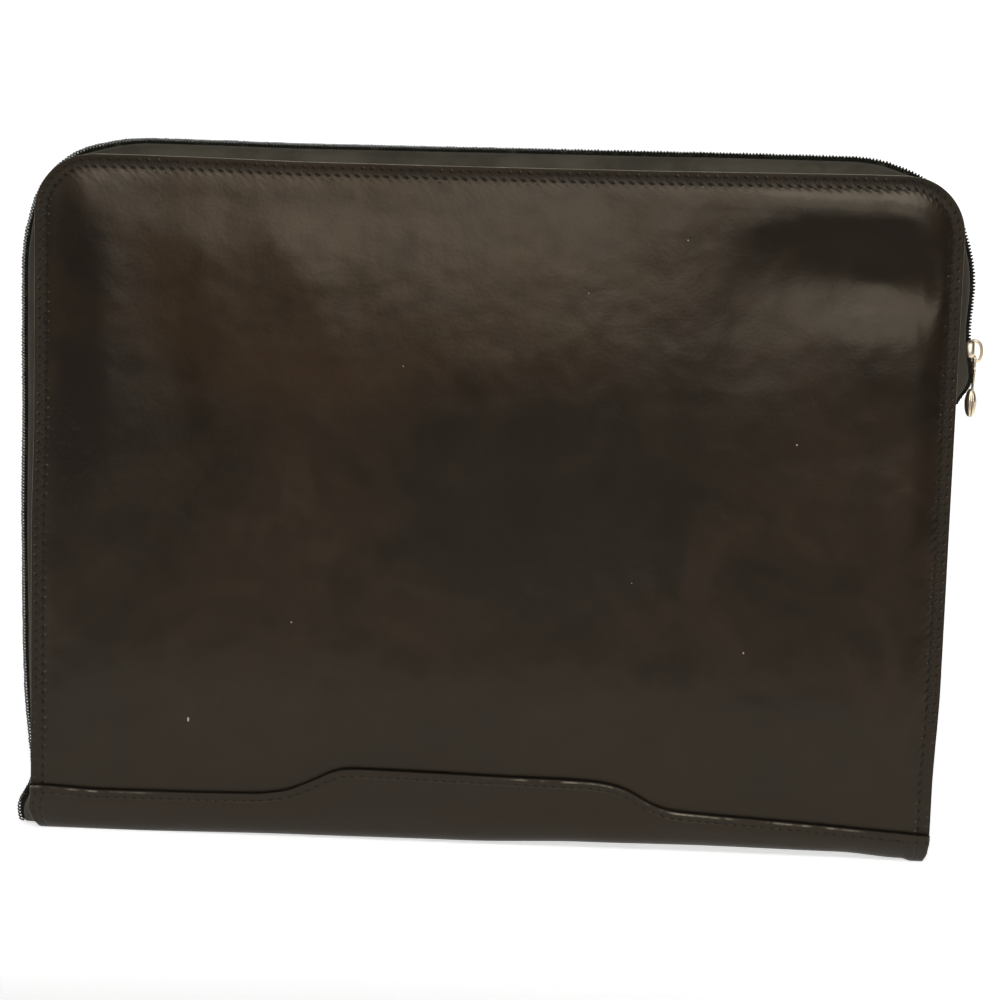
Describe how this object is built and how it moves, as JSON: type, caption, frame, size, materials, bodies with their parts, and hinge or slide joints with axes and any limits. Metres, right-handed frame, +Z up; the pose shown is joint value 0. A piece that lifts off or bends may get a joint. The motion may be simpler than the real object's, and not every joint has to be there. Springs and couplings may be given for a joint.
{
  "type": "leather document case",
  "caption": "Slim padded document case with rounded top corners, a stitched base band and a zip round its top and side.",
  "frame": {"origin": "on the surface that the case stands on, under the middle of its bounding box", "axes": "+X along the width towards the side with the zip's slider, -Y out of the front face, +Z up towards the zip along the top"},
  "size_m": [0.3838, 0.036, 0.283],
  "materials": {
    "panel_leather": "polished dark brown calf leather, mottled, with a broad soft gloss",
    "band_leather": "dark brown calf leather, worn lighter along its turned edge",
    "gusset_leather": "dark grey-brown leather, satin",
    "zip_tape": "woven tape, near black, matt",
    "zip_coil": "nylon coil, near black, satin",
    "brass": "pale polished brass"
  },
  "bodies": {
    "case": {"front_panel": "panel_leather", "back_panel": "panel_leather", "base_band": "band_leather", "front_gusset": "gusset_leather", "back_gusset": "gusset_leather", "side_pleat": "gusset_leather", "zip_tape_front": "zip_tape", "zip_tape_back": "zip_tape", "zip_coil": "zip_coil", "zip_tail_front": "zip_coil", "zip_tail_back": "zip_coil", "zip_slider": "brass"},
    "puller": {"zip_puller": "brass"}
  },
  "joints": [
    {"name": "puller_swing", "type": "hinge", "parent": "case", "child": "puller", "pos_m": [0.18886, 0, 0.20547], "axis": [0, -1, 0], "range_deg": [0, 110]}
  ]
}
